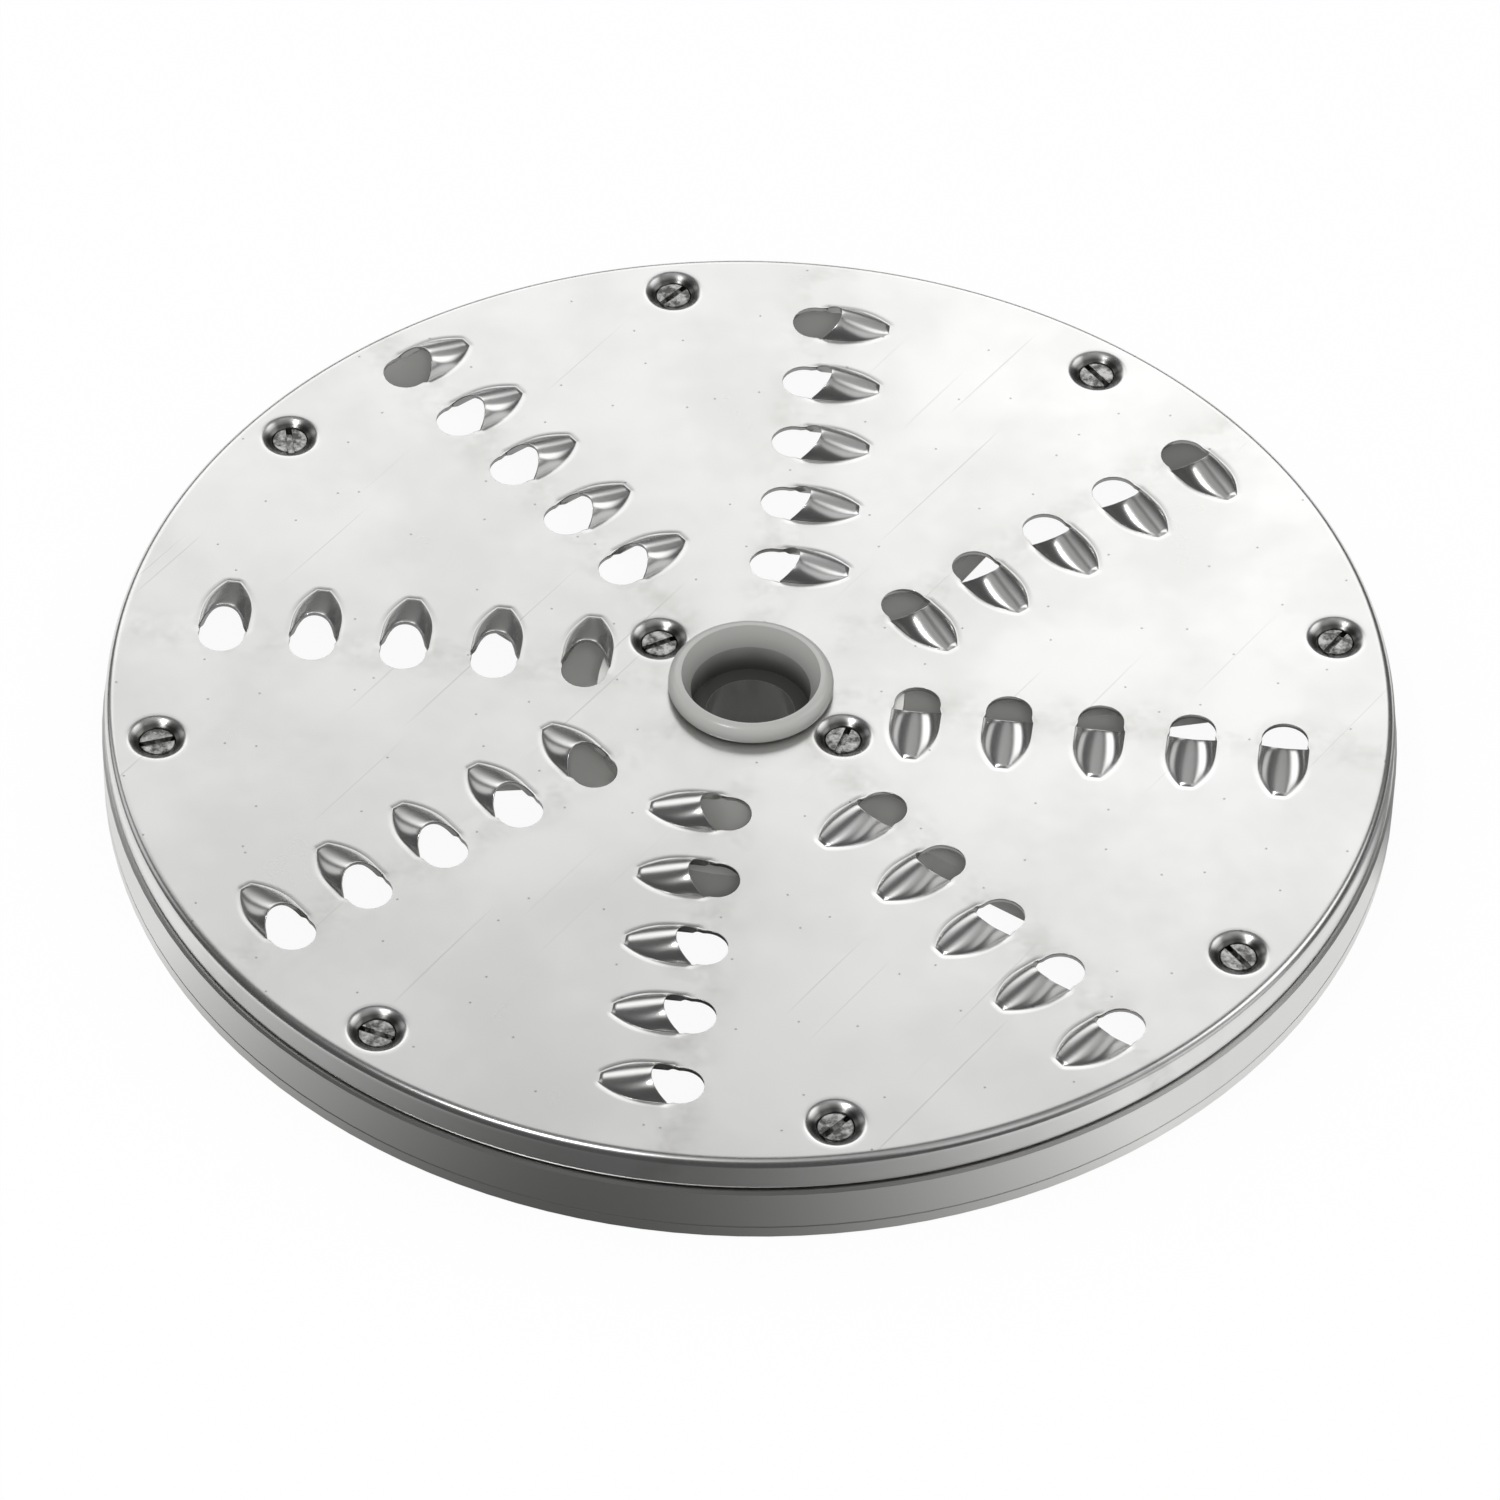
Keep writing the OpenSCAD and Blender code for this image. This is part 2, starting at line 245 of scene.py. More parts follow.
# The flat sheet between all the outlines, cut into triangles
def flatWeb(outlines, boreRing, rimRing):
    loops = outlines + [boreRing, rimRing]
    points = np.concatenate([loop[:, :2] for loop in loops])
    edges = []
    start = 0
    for loop in loops:
        index = np.arange(len(loop)) + start
        edges.extend(np.stack([index, np.roll(index, -1)], axis=1).tolist())
        start += len(loop)
    allTriangles = 0   # output type of the triangulation
    sameWithin = 1e-5  # points closer than this count as one
    result = geometry.delaunay_2d_cdt(
        [Vector(p) for p in points.tolist()], edges, [], allTriangles, sameWithin)
    flat = np.array([list(p) for p in result[0]])
    triangles = np.array([list(f) for f in result[2]])
    centre = flat[triangles].mean(axis=1)
    keep = insideOutline(centre, rimRing) & ~insideOutline(centre, boreRing)
    for outline in outlines:
        keep &= ~insideOutline(centre, outline)
    triangles = triangles[keep]
    corner = flat[triangles]
    side1 = corner[:, 1] - corner[:, 0]
    side2 = corner[:, 2] - corner[:, 0]
    clockwise = side1[:, 0] * side2[:, 1] - side1[:, 1] * side2[:, 0] < 0
    triangles[clockwise] = triangles[clockwise][:, ::-1]
    verts = np.column_stack([flat, np.full(len(flat), faceZ)])
    return verts, triangles


# A ring of points on the face
def ringOf(radius, steps):
    return turnProfile([(radius, faceZ)], steps)[0]


# The rim from the flat web over its bend and down the skirt, as (radius, height)
def rimProfile():
    p = plate
    bendR = p["bendR"]
    bend = arcPoints(p["outerR"] - bendR, faceZ - bendR, bendR, 90, 0, p["bendSteps"])
    return [(p["webR"], faceZ)] + bend + [(p["outerR"] - inwards, z) for inwards, z in p["skirt"]]


# Turn and radius of screws spread evenly round a circle
def screwCircle(count, outR, firstTurn):
    return [(firstTurn + 360 / count * i, outR) for i in range(count)]


# Gives the sheet its thickness downwards, thinned at the cutting edges and the holes' edges
def thicken(piece, shares):
    wall = piece.modifiers.new("sheet", "SOLIDIFY")
    wall.thickness = plate["sheet"] * mm
    wall.offset = -1
    wall.use_rim = True
    thick = piece.vertex_groups.new(name="thick")
    thick.add(list(range(len(piece.data.vertices))), 1.0, "REPLACE")
    thinned = np.flatnonzero(np.concatenate(shares) < 1)
    thick.add(thinned.tolist(), tooth["edgeShare"], "REPLACE")
    wall.vertex_group = thick.name


def toothedPlate():
    p = plate
    hood, sheetRings, outline = toothSurface()
    parts = []
    outlines = []
    shares = []
    for row in range(p["rows"]):
        turn = p["rowTurn"] + row * 360 / p["rows"]
        for place in range(p["teethPerRow"]):
            outR = p["outerToothR"] - p["rowStep"][row % len(p["rowStep"])] - p["pitch"] * place
            for verts, faces, share in (hood, sheetRings):
                parts.append((placed(verts, turn, outR, p["toothTurn"]), faces))
                shares.append(share)
            outlines.append(placed(outline, turn, outR, p["toothTurn"]))
    pressed, pressedFaces = turnProfile(dimple["profile"], dimple["steps"])
    spots = screwCircle(p["rimScrews"], p["rimScrewR"], p["rimScrewTurn"])
    spots += screwCircle(p["hubScrews"], p["hubScrewR"], p["hubScrewTurn"])
    for turn, outR in spots:
        parts.append((placed(pressed, turn, outR), pressedFaces))
        outlines.append(placed(pressed[:dimple["steps"]], turn, outR))
    rimVerts, rimFaces = turnProfile(rimProfile(), p["rimSteps"])
    parts.append((rimVerts, rimFaces[:, ::-1]))
    parts.append(turnProfile([(r, faceZ) for r in p["boreRings"]], p["boreSteps"]))
    boreRing = ringOf(p["boreRings"][0], p["boreSteps"])
    rimRing = ringOf(p["webR"], p["rimSteps"])
    parts.append(flatWeb(outlines, boreRing, rimRing))
    piece = makePiece("toothed_plate", parts)
    thicken(piece, shares)

    # The dimple mask is 1 in the dimples, where the material paints shade that darkens with depth
    inDimple = [np.full(len(verts), float(faces is pressedFaces)) for verts, faces in parts]
    dimpleMask = piece.data.attributes.new("dimpleMask", "FLOAT", "POINT")
    dimpleMask.data.foreach_set("value", np.concatenate(inDimple))
    edge = piece.modifiers.new("edge", "BEVEL")
    edge.width = p["edgeBevel"] * mm
    edge.segments = 1
    edge.limit_method = "ANGLE"
    edge.angle_limit = math.radians(p["bevelFromDeg"])
    edge.harden_normals = False
    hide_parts("grating_plate")
    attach(piece, "root")
    return piece


toothedSheet = toothedPlate()
print("toothed plate made,", len(toothedSheet.data.polygons), "faces before its thickness")


# Materials

# sRGB hex to linear RGBA
def toLinear(code):
    value = [int(code[i:i + 2], 16) / 255 for i in (1, 3, 5)]
    return [c / 12.92 if c <= 0.04045 else ((c + 0.055) / 1.055) ** 2.4 for c in value] + [1.0]


# One node with its settings. A value that is another node's output is linked, else it is set
def addNode(tree, kind, inputs=None, **settings):
    node = tree.nodes.new(kind)
    for name, value in settings.items():
        setattr(node, name, value)
    for key, value in (inputs or {}).items():
        socket = node.inputs[key]
        if isinstance(value, bpy.types.NodeSocket):
            tree.links.new(value, socket)
        else:
            socket.default_value = value
    return node


def newMaterial(name):
    material = bpy.data.materials.new(name)
    material.use_nodes = True
    material.node_tree.nodes.clear()
    return material, material.node_tree


def finishMaterial(tree, shader):
    addNode(tree, "ShaderNodeOutputMaterial", {"Surface": shader})


# Satin stainless sheet: on the face smudges, specks, a few scratches, painted shade in blotches
# along the rows of teeth and a slight waviness, painted shade in the dimples, and a smoother polish
# where it is pressed. A range of a noise is the stretch of its values over which the effect grows
# from none to full
satinSheet = {
    "color": "#dfdfde",
    "dull": "#dadad8",
    "smudgeMm": 24.0,
    "dullRange": [0.35, 0.65],
    "faceRough": 0.26,
    "faceRoughSpan": 0.02,
    "roughRange": [0.15, 0.85],
    "pressedRough": 0.23,
    "pressedMm": [0.02, 0.25],      # pressed from this far off the face to the next
    "waveMm": 60.0,
    "waveHeightMm": 0.35,
    "speck": "#8a8a88",
    "speckMm": 13.0,
    "speckR": [0.01, 0.02],         # full inside, gone outside, as shares of the way between specks
    "speckMost": 0.6,
    "scratched": "#a8a8a6",
    "scratchMm": 0.6,
    "scratchLong": 90.0,            # how many times longer than wide
    "scratchTurn": 0.95,            # in radians
    "scratchRange": [0.79, 0.86],
    "scratchMost": 0.3,
    # Painted shade in blotches along the rows of teeth, next to the hoods
    "shaded": "#c2c1be",
    "rowShadeMm": 7.0,
    "rowShadeRange": [0.42, 0.85],
    "rowShadeHalfMm": 8.0,             # how far the painted shade reaches to either side of a row of teeth
    "dimpleShade": "#686866",             # painted shade in the dimples
    "dimpleShadeMm": [0.05, 0.6],         # the painted shade grows from this depth under the face to the next
}


# Mask of long thin scratches in one direction: noise drawn out along it, cut off high up
def scratchField(tree, coords, s):
    drawn = addNode(tree, "ShaderNodeMapping", {
        "Vector": coords, "Rotation": (0, 0, s["scratchTurn"]), "Scale": (s["scratchLong"], 1, 1),
    }, vector_type="TEXTURE").outputs[0]
    noise = addNode(tree, "ShaderNodeTexNoise", {
        "Vector": drawn, "Scale": 1 / (s["scratchMm"] * mm), "Detail": 0.0,
    }).outputs["Fac"]
    fromNoise, toNoise = s["scratchRange"]
    return addNode(tree, "ShaderNodeMapRange", {
        "Value": noise, "From Min": fromNoise, "From Max": toNoise, "To Max": s["scratchMost"],
    }).outputs[0]


# Mask along the rows of teeth: the angle from the nearest row, times the distance from the disc's
# centre, is about the way off that row
def alongRows(tree, coords, s):
    parts = addNode(tree, "ShaderNodeSeparateXYZ", {0: coords}).outputs
    angle = addNode(tree, "ShaderNodeMath", {
        0: parts["Y"], 1: parts["X"],
    }, operation="ARCTAN2").outputs[0]
    angle = addNode(tree, "ShaderNodeMath", {
        0: angle, 1: math.radians(plate["rowTurn"]),
    }, operation="SUBTRACT").outputs[0]
    halfStep = math.pi / plate["rows"]
    angle = addNode(tree, "ShaderNodeMath", {
        0: angle, 1: halfStep, 2: -halfStep,
    }, operation="WRAP").outputs[0]
    outR = addNode(tree, "ShaderNodeVectorMath", {0: coords}, operation="LENGTH").outputs["Value"]
    off = addNode(tree, "ShaderNodeMath", {0: angle, 1: outR}, operation="MULTIPLY").outputs[0]
    off = addNode(tree, "ShaderNodeMath", {0: off}, operation="ABSOLUTE").outputs[0]
    return addNode(tree, "ShaderNodeMapRange", {
        "Value": off, "From Min": 0.0, "From Max": s["rowShadeHalfMm"] * mm, "To Min": 1.0, "To Max": 0.0,
    }, interpolation_type="SMOOTHSTEP").outputs[0]


# Mask of blotches of a real size: noise, from none to full over a range of its values
def blotches(tree, coords, sizeMm, valueRange):
    noise = addNode(tree, "ShaderNodeTexNoise", {
        "Vector": coords, "Scale": 1 / (sizeMm * mm), "Detail": 3.0, "Roughness": 0.6,
    }).outputs["Fac"]
    return addNode(tree, "ShaderNodeMapRange", {
        "Value": noise, "From Min": valueRange[0], "From Max": valueRange[1],
    }).outputs[0]


def satinStainless():
    s = satinSheet
    material, tree = newMaterial("satinStainless")
    coords = addNode(tree, "ShaderNodeTexCoord").outputs["Object"]
    height = addNode(tree, "ShaderNodeSeparateXYZ", {0: coords}).outputs["Z"]
    offFace = addNode(tree, "ShaderNodeMath", {0: height, 1: faceZ * mm}, operation="SUBTRACT").outputs[0]
    away = addNode(tree, "ShaderNodeMath", {0: offFace}, operation="ABSOLUTE").outputs[0]
    pressed = addNode(tree, "ShaderNodeMapRange", {
        "Value": away, "From Min": s["pressedMm"][0] * mm, "From Max": s["pressedMm"][1] * mm,
    }, interpolation_type="SMOOTHSTEP").outputs[0]
    onFace = addNode(tree, "ShaderNodeMath", {0: 1.0, 1: pressed}, operation="SUBTRACT").outputs[0]
    smudge = addNode(tree, "ShaderNodeTexNoise", {
        "Vector": coords, "Scale": 1 / (s["smudgeMm"] * mm), "Detail": 4.0, "Roughness": 0.6,
    }).outputs["Fac"]
    wave = addNode(tree, "ShaderNodeTexNoise", {
        "Vector": coords, "Scale": 1 / (s["waveMm"] * mm), "Detail": 1.0, "Roughness": 0.4,
    }).outputs["Fac"]
    speckWay = addNode(tree, "ShaderNodeTexVoronoi", {
        "Vector": coords, "Scale": 1 / (s["speckMm"] * mm), "Randomness": 1.0,
    }, voronoi_dimensions="2D").outputs["Distance"]
    speck = addNode(tree, "ShaderNodeMapRange", {
        "Value": speckWay, "From Min": s["speckR"][0], "From Max": s["speckR"][1],
        "To Min": s["speckMost"], "To Max": 0.0,
    }).outputs[0]
    # Painted shade in the dimples: darker with depth under the face, where the dimple mask is 1
    dimpleMask = addNode(tree, "ShaderNodeAttribute", attribute_name="dimpleMask").outputs["Fac"]
    sunk = addNode(tree, "ShaderNodeMapRange", {
        "Value": offFace, "From Min": -s["dimpleShadeMm"][0] * mm, "From Max": -s["dimpleShadeMm"][1] * mm,
    }).outputs[0]
    bright = addNode(tree, "ShaderNodeMapRange", {
        "Value": smudge, "From Min": s["dullRange"][0], "From Max": s["dullRange"][1],
    }, interpolation_type="SMOOTHSTEP").outputs[0]
    color = addNode(tree, "ShaderNodeMix", {
        "Factor": bright, 6: toLinear(s["dull"]), 7: toLinear(s["color"]),
    }, data_type="RGBA").outputs[2]

    # Each mark over the last: its mask, where it lies, and its colour
    marks = [
        # Painted shade along the rows of teeth, specks, scratches, then painted shade in the dimples
        (blotches(tree, coords, s["rowShadeMm"], s["rowShadeRange"]), alongRows(tree, coords, s), "shaded"),
        (speck, onFace, "speck"),
        (scratchField(tree, coords, s), onFace, "scratched"),
        (sunk, dimpleMask, "dimpleShade"),
    ]
    for mask, where, markColor in marks:
        amount = addNode(tree, "ShaderNodeMath", {0: mask, 1: where}, operation="MULTIPLY").outputs[0]
        color = addNode(tree, "ShaderNodeMix", {
            "Factor": amount, 6: color, 7: toLinear(s[markColor]),
        }, data_type="RGBA").outputs[2]
    rough = addNode(tree, "ShaderNodeMapRange", {
        "Value": smudge, "From Min": s["roughRange"][0], "From Max": s["roughRange"][1],
        "To Min": s["faceRough"] + s["faceRoughSpan"], "To Max": s["faceRough"] - s["faceRoughSpan"],
    }, interpolation_type="SMOOTHSTEP").outputs[0]
    rough = addNode(tree, "ShaderNodeMix", {
        "Factor": pressed, 2: rough, 3: s["pressedRough"],
    }, data_type="FLOAT").outputs[0]
    bump = addNode(tree, "ShaderNodeBump", {
        "Height": wave, "Strength": 1.0, "Distance": s["waveHeightMm"] * mm,
    }).outputs["Normal"]
    shader = addNode(tree, "ShaderNodeBsdfPrincipled", {
        "Base Color": color, "Metallic": 1.0, "Roughness": rough, "Normal": bump,
    })
    finishMaterial(tree, shader.outputs[0])
    return material


# Aluminium casting: turned bright on its outer band, rougher and duller inside
casting = {
    "turned": "#dadad8",
    "cast": "#dededb",
    "turnedR": [100, 100.5],  # cast inside, turned outside
    "turnedRough": 0.34,
    "castRough": 0.62,
    "castMetal": 0.1,         # the cast skin is dull enough to look hardly metallic
    "grainMm": 0.5,
    "grainHeightMm": 0.02,
}


# Distance of the shaded point from the Z axis, in metres
def axisDistance(tree, coords):
    flat = addNode(tree, "ShaderNodeVectorMath", {
        0: coords, 1: (1, 1, 0),
    }, operation="MULTIPLY").outputs[0]
    return addNode(tree, "ShaderNodeVectorMath", {0: flat}, operation="LENGTH").outputs["Value"]


def castAluminium():
    s = casting
    material, tree = newMaterial("castAluminium")
    coords = addNode(tree, "ShaderNodeTexCoord").outputs["Object"]
    band = addNode(tree, "ShaderNodeMapRange", {
        "Value": axisDistance(tree, coords),
        "From Min": s["turnedR"][0] * mm, "From Max": s["turnedR"][1] * mm,
    }).outputs[0]
    grain = addNode(tree, "ShaderNodeTexNoise", {
        "Vector": coords, "Scale": 1 / (s["grainMm"] * mm), "Detail": 3.0,
    }).outputs["Fac"]
    color = addNode(tree, "ShaderNodeMix", {
        "Factor": band, 6: toLinear(s["cast"]), 7: toLinear(s["turned"]),
    }, data_type="RGBA").outputs[2]
    rough = addNode(tree, "ShaderNodeMix", {
        "Factor": band, 2: s["castRough"], 3: s["turnedRough"],
    }, data_type="FLOAT").outputs[0]
    metal = addNode(tree, "ShaderNodeMix", {
        "Factor": band, 2: s["castMetal"], 3: 1.0,
    }, data_type="FLOAT").outputs[0]
    bump = addNode(tree, "ShaderNodeBump", {
        "Height": grain, "Strength": 0.3, "Distance": s["grainHeightMm"] * mm,
    }).outputs["Normal"]
    shader = addNode(tree, "ShaderNodeBsdfPrincipled", {
        "Base Color": color, "Metallic": metal, "Roughness": rough, "Normal": bump,
    })
    finishMaterial(tree, shader.outputs[0])
    return material


# Grey moulded plastic with a soft gloss, with painted shade inside its bore that deepens downwards and
# painted light in the narrow shaft bore below
plastic = {
    "color": "#b0b0ad",
    "shaded": "#424240",
    "boreShadeR": 10.7,       # painted shade inside this radius
    "boreShadeTop": 18.6,     # painted shade from this height down to the next
    "boreShadeFull": 10.6,
    # Painted light: the narrow shaft bore below is coloured lighter than the shade above it
    "boreLitColor": "#6c6c6a",
    "boreR": 7.05,
    "rough": 0.22,
    "grainMm": 0.8,
    "grainHeightMm": 0.01,
}


def greyPlastic():
    s = plastic
    material, tree = newMaterial("greyPlastic")
    coords = addNode(tree, "ShaderNodeTexCoord").outputs["Object"]
    height = addNode(tree, "ShaderNodeSeparateXYZ", {0: coords}).outputs["Z"]
    outR = axisDistance(tree, coords)
    # Painted shade inside the bore, darker with depth
    inside = addNode(tree, "ShaderNodeMath", {
        0: outR, 1: s["boreShadeR"] * mm,
    }, operation="LESS_THAN").outputs[0]
    depth = addNode(tree, "ShaderNodeMapRange", {
        "Value": height, "From Min": s["boreShadeTop"] * mm, "From Max": s["boreShadeFull"] * mm,
    }, interpolation_type="SMOOTHSTEP").outputs[0]
    boreShade = addNode(tree, "ShaderNodeMath", {0: inside, 1: depth}, operation="MULTIPLY").outputs[0]
    color = addNode(tree, "ShaderNodeMix", {
        "Factor": boreShade, 6: toLinear(s["color"]), 7: toLinear(s["shaded"]),
    }, data_type="RGBA").outputs[2]
    # Painted light in the narrow shaft bore
    inBore = addNode(tree, "ShaderNodeMath", {
        0: outR, 1: s["boreR"] * mm,
    }, operation="LESS_THAN").outputs[0]
    color = addNode(tree, "ShaderNodeMix", {
        "Factor": inBore, 6: color, 7: toLinear(s["boreLitColor"]),
    }, data_type="RGBA").outputs[2]
    grain = addNode(tree, "ShaderNodeTexNoise", {
        "Vector": coords, "Scale": 1 / (s["grainMm"] * mm), "Detail": 2.0,
    }).outputs["Fac"]
    bump = addNode(tree, "ShaderNodeBump", {
        "Height": grain, "Strength": 0.2, "Distance": s["grainHeightMm"] * mm,
    }).outputs["Normal"]
    shader = addNode(tree, "ShaderNodeBsdfPrincipled", {
        "Base Color": color, "Roughness": s["rough"], "Normal": bump,
    })
    finishMaterial(tree, shader.outputs[0])
    return material


# Dull steel of the slotted screws, worn bright in patches and grimy between them
screws = {
    "grimy": "#5e5e5c",
    "worn": "#cacac8",
    "patchMm": 1.6,
    "wornRange": [0.4, 0.62],  # of the patches' noise, from grimy to worn
    "pitMm": 0.15,
    "rough": 0.38,
}


def screwSteel():
    s = screws
    material, tree = newMaterial("screwSteel")
    coords = addNode(tree, "ShaderNodeTexCoord").outputs["Object"]
    patch = addNode(tree, "ShaderNodeTexNoise", {
        "Vector": coords, "Scale": 1 / (s["patchMm"] * mm), "Detail": 3.0, "Roughness": 0.7,
    }).outputs["Fac"]
    worn = addNode(tree, "ShaderNodeMapRange", {
        "Value": patch, "From Min": s["wornRange"][0], "From Max": s["wornRange"][1],
    }).outputs[0]
    color = addNode(tree, "ShaderNodeMix", {
        "Factor": worn, 6: toLinear(s["grimy"]), 7: toLinear(s["worn"]),
    }, data_type="RGBA").outputs[2]
    bump = addNode(tree, "ShaderNodeBump", {
        "Height": patch, "Strength": 0.6, "Distance": s["pitMm"] * mm,
    }).outputs["Normal"]
    shader = addNode(tree, "ShaderNodeBsdfPrincipled", {
        "Base Color": color, "Metallic": 1.0, "Roughness": s["rough"], "Normal": bump,
    })
    finishMaterial(tree, shader.outputs[0])
    return material


# White table that a camera ray, or a mirror or glass on the way to it, sees as nearly pure white.
# In mirrors, wedges of it stay dark, each a direction from the disc with its cosines and its level
table = {
    "half": 4000,            # half its side
    "top": -0.02,            # just under the disc, so that no two faces coincide
    "paper": "#f6f6f6",
    "whiteShare": 0.94,
    "wedges": [
        ((-0.225, -0.974, 0), 0.62, 1.0, 0.08),
        ((0.998, 0.07, 0), 0.95, 0.99, 0.25),
    ],
    "shadeR": [98, 103],     # under the disc the mirrored table is dark out to here
    "shadeLevel": 0.4,
}


def whiteTable():
    t = table
    material, tree = newMaterial("whiteTable")
    path = addNode(tree, "ShaderNodeLightPath").outputs
    coords = addNode(tree, "ShaderNodeTexCoord").outputs["Object"]
    way = addNode(tree, "ShaderNodeVectorMath", {0: coords}, operation="NORMALIZE").outputs[0]
    outR = addNode(tree, "ShaderNodeVectorMath", {0: coords}, operation="LENGTH").outputs["Value"]
    level = addNode(tree, "ShaderNodeMapRange", {
        "Value": outR, "From Min": t["shadeR"][0] * mm, "From Max": t["shadeR"][1] * mm,
        "To Min": t["shadeLevel"], "To Max": 1.0,
    }).outputs[0]
    for direction, fromCos, toCos, least in t["wedges"]:
        nearness = addNode(tree, "ShaderNodeVectorMath", {
            0: way, 1: direction,
        }, operation="DOT_PRODUCT").outputs["Value"]
        part = addNode(tree, "ShaderNodeMapRange", {
            "Value": nearness, "From Min": fromCos, "From Max": toCos, "To Min": 1.0, "To Max": least,
        }).outputs[0]
        level = addNode(tree, "ShaderNodeMath", {0: level, 1: part}, operation="MULTIPLY").outputs[0]
    strength = addNode(tree, "ShaderNodeMix", {
        "Factor": path["Is Glossy Ray"], 2: 1.0, 3: level,
    }, data_type="FLOAT").outputs[0]
    seen = path["Is Camera Ray"]
    for ray in ("Is Transmission Ray", "Is Glossy Ray"):
        seen = addNode(tree, "ShaderNodeMath", {0: seen, 1: path[ray]}, operation="MAXIMUM").outputs[0]
    amount = addNode(tree, "ShaderNodeMath", {
        0: seen, 1: t["whiteShare"],
    }, operation="MULTIPLY").outputs[0]
    paper = addNode(tree, "ShaderNodeBsdfDiffuse", {"Color": toLinear(t["paper"])}).outputs[0]
    white = addNode(tree, "ShaderNodeEmission", {
        "Color": (1, 1, 1, 1), "Strength": strength,
    }).outputs[0]
    shader = addNode(tree, "ShaderNodeMixShader", {0: amount, 1: paper, 2: white})
    finishMaterial(tree, shader.outputs[0])
    return material


def paint(piece, material):
    piece.data.materials.clear()
    piece.data.materials.append(material)


paint(toothedSheet, satinStainless())
paint(nodes["carrier"], castAluminium())
paint(nodes["hub_bush"], greyPlastic())
steel = screwSteel()
for name, piece in nodes.items():
    if "screw" in name:
        paint(piece, steel)
print("materials made")


# Table, lamps, world and camera

def makeTable():
    corners = [(-1, -1), (1, -1), (1, 1), (-1, 1)]
    verts = [(x * table["half"], y * table["half"], table["top"]) for x, y in corners]
    top = makePiece("table", [(verts, [(0, 1, 2, 3)])])
    paint(top, whiteTable())


# Lamps: place, the point that each faces, width and height in metres, watts, and whether metal
# mirrors it
lamps = {
    "keyLamp": ((-0.5, -0.3, 1.6), (0, 0, 0), (0.2, 0.2), 4, True),
    "sideLamp": ((0.18, 0.42, 0.42), (0.06, 0, 0), (0.3, 0.3), 0.08, True),
    "fillLamp": ((0.1, -1.3, 1.35), (0, 0, 0), (0.4, 0.3), 7, False),
}


def softLamp(name, place, aim, size, power, mirrored):
    lamp = bpy.data.lights.new(name, "AREA")
    lamp.shape = "RECTANGLE"
    lamp.size, lamp.size_y = size
    lamp.energy = power
    holder = bpy.data.objects.new(name, lamp)
    holder.location = place
    way = Vector(aim) - Vector(place)
    holder.rotation_euler = way.to_track_quat("-Z", "Y").to_euler()
    holder.visible_glossy = mirrored
    bpy.context.scene.collection.objects.link(holder)


# Camera: its lens is in millimetres, its angles are degrees and its places metres. It looks down
# from the elevation over the disc's front and is rolled a little about its own axis
camera = {
    "lens": 209.7,
    "sensor": 36,
    "elevation": 44.996,
    "roll": 1.374,
    "distance": 1.3705,
    "target": (0.000121, -0.014025, 0.0158),
    "clip": (0.05, 50),
}


def placeCamera():
    lensData = bpy.data.cameras.new("camera")
    lensData.lens = camera["lens"]
    lensData.sensor_width = camera["sensor"]
    lensData.clip_start, lensData.clip_end = camera["clip"]
    eye = bpy.data.objects.new("camera", lensData)
    bpy.context.scene.collection.objects.link(eye)
    bpy.context.scene.camera = eye
    e = math.radians(camera["elevation"])
    r = math.radians(camera["roll"])
    level = Vector((1, 0, 0))
    upright = Vector((0, math.sin(e), math.cos(e)))
    back = Vector((0, -math.cos(e), math.sin(e)))
    right = level * math.cos(r) + upright * math.sin(r)
    up = upright * math.cos(r) - level * math.sin(r)
    place = Vector(camera["target"]) + back * camera["distance"]
    eye.matrix_world = Matrix((
        (right.x, up.x, back.x, place.x),
        (right.y, up.y, back.y, place.y),
        (right.z, up.z, back.z, place.z),
        (0, 0, 0, 1),
    ))


makeTable()
placeCamera()
for name, lampSettings in lamps.items():
    softLamp(name, *lampSettings)


# Room: even light for whatever is matt, and for what the metal mirrors a dim grey with softboxes.
# A softbox is its azimuth and elevation, half its width and height, its soft border and its
# strength, with all angles in degrees.
room = {
    "even": 0.75,
    "dim": 0.09,
    "softboxes": [
        (97, 34, 25, 9, 9, 1.43),       # far
        (150, 26, 8, 8, 8, 0.7),        # far left, low
        (22, 46, 12, 11, 8, 1.7),       # right
        (345, 18, 14, 9, 8, 0.7),       # right, low
        (330, 55, 22, 10, 9, 0.6),      # near right, high
        (228, 68, 16, 8, 8, 0.5),       # near left, high
        (90, 80, 180, 5, 8, 0.35),      # overhead
    ],
}


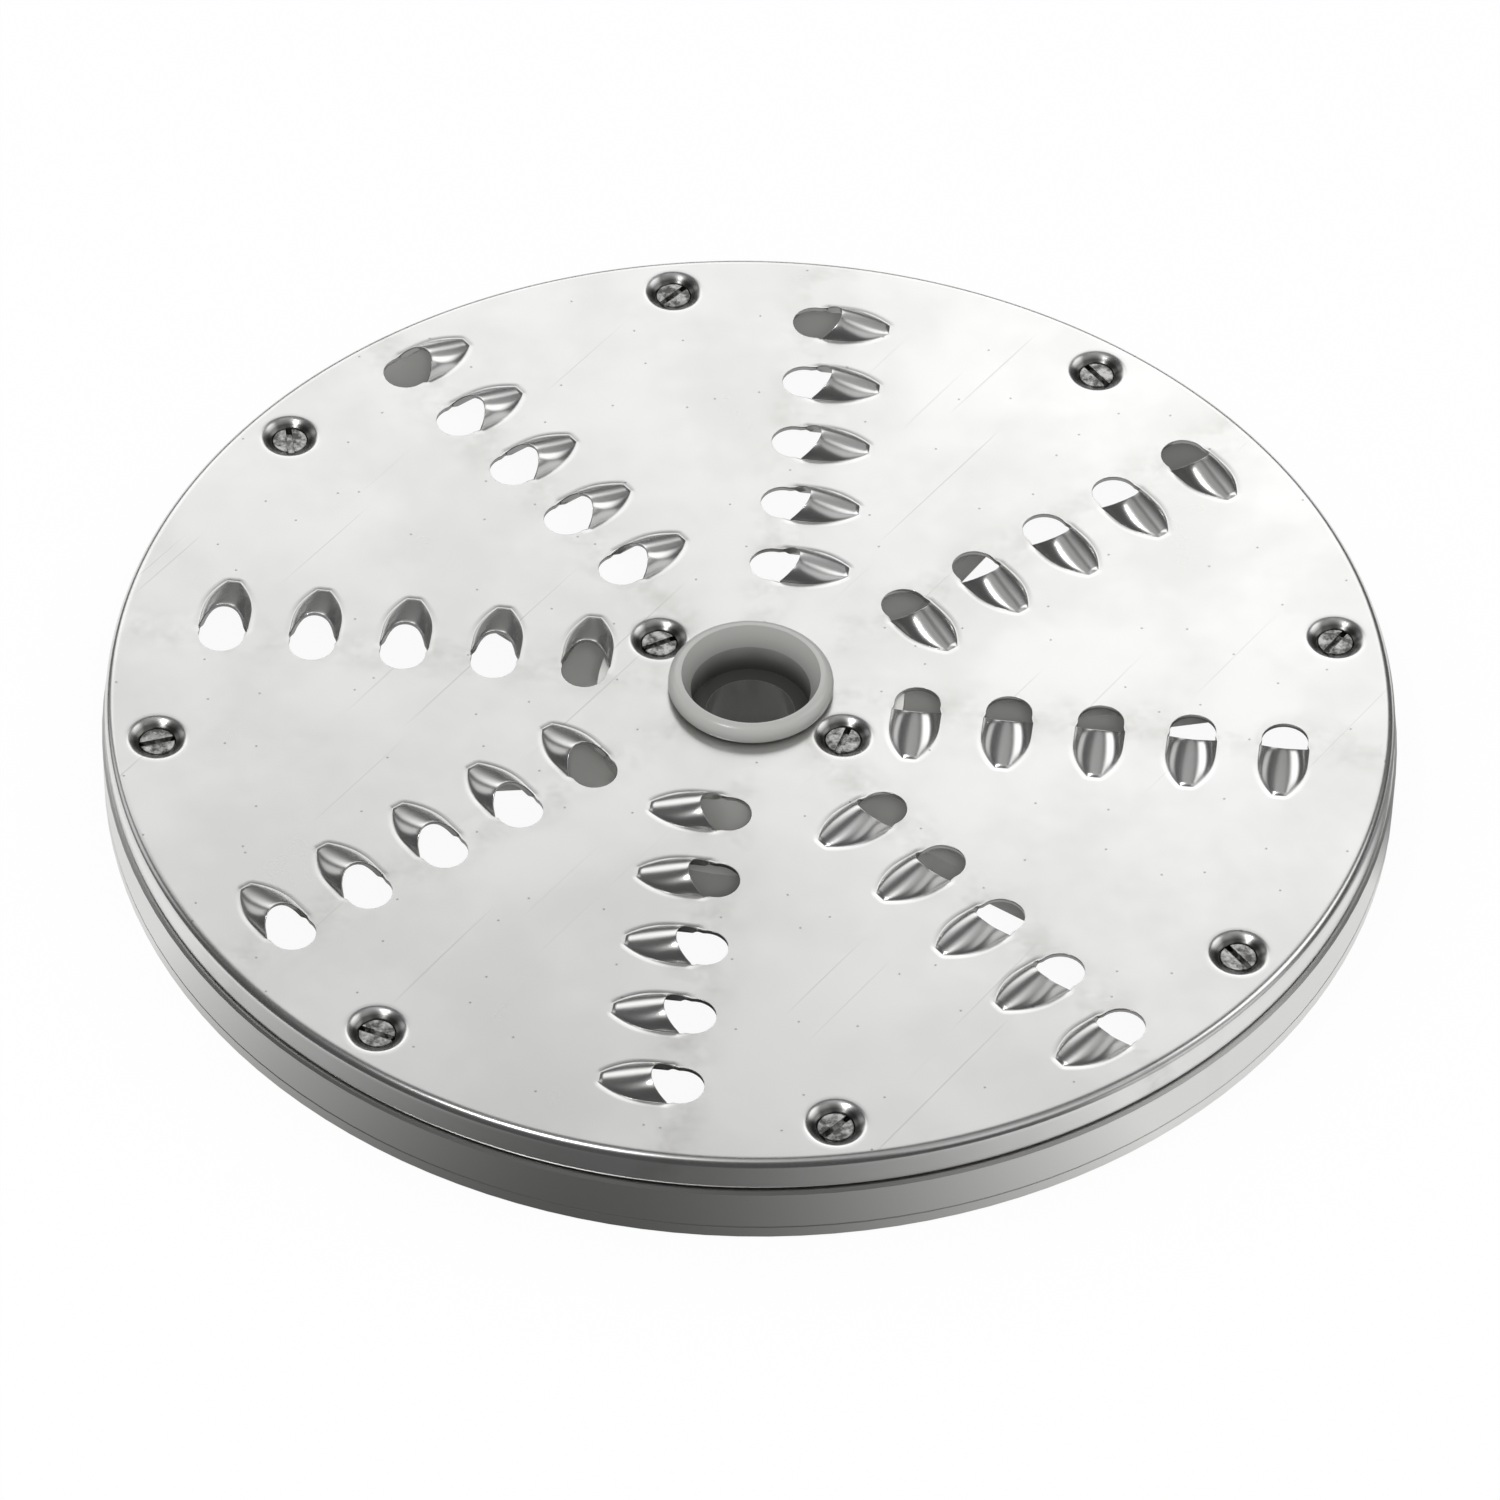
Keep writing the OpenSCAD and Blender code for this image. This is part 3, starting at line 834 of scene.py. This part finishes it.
# Light of one softbox from the direction that is looked along: its strength inside, falling to 0
# over its border
def softboxLevel(tree, way, box):
    azimuth, elevation, halfWide, halfHigh, border, strength = box
    turned = addNode(tree, "ShaderNodeVectorRotate", {
        "Vector": way, "Angle": math.radians(-azimuth),
    }, rotation_type="Z_AXIS").outputs[0]
    parts = addNode(tree, "ShaderNodeSeparateXYZ", {0: turned}).outputs
    across = addNode(tree, "ShaderNodeMath", {
        0: parts["Y"], 1: parts["X"],
    }, operation="ARCTAN2").outputs[0]
    rise = addNode(tree, "ShaderNodeMath", {0: parts["Z"]}, operation="ARCSINE").outputs[0]
    rise = addNode(tree, "ShaderNodeMath", {
        0: rise, 1: math.radians(elevation),
    }, operation="SUBTRACT").outputs[0]
    level = strength
    for off, half in ((across, halfWide), (rise, halfHigh)):
        size = addNode(tree, "ShaderNodeMath", {0: off}, operation="ABSOLUTE").outputs[0]
        share = addNode(tree, "ShaderNodeMapRange", {
            "Value": size, "From Min": math.radians(half), "From Max": math.radians(half + border),
            "To Min": 1.0, "To Max": 0.0,
        }, interpolation_type="SMOOTHSTEP").outputs[0]
        level = addNode(tree, "ShaderNodeMath", {0: level, 1: share}, operation="MULTIPLY").outputs[0]
    return level


def makeRoom():
    world = bpy.data.worlds.new("room")
    world.use_nodes = True
    world.cycles.sampling_method = "NONE"
    tree = world.node_tree
    tree.nodes.clear()
    way = addNode(tree, "ShaderNodeTexCoord").outputs["Generated"]
    glossy = addNode(tree, "ShaderNodeLightPath").outputs["Is Glossy Ray"]
    mirrored = room["dim"]
    for box in room["softboxes"]:
        level = softboxLevel(tree, way, box)
        mirrored = addNode(tree, "ShaderNodeMath", {0: mirrored, 1: level}, operation="ADD").outputs[0]
    strength = addNode(tree, "ShaderNodeMix", {
        "Factor": glossy, 2: room["even"], 3: mirrored,
    }, data_type="FLOAT").outputs[0]
    sky = addNode(tree, "ShaderNodeBackground", {"Color": (1, 1, 1, 1), "Strength": strength})
    addNode(tree, "ShaderNodeOutputWorld", {"Surface": sky.outputs[0]})
    bpy.context.scene.world = world


makeRoom()
bpy.context.scene.view_settings.view_transform = "Standard"
print("table, lamps and camera placed")
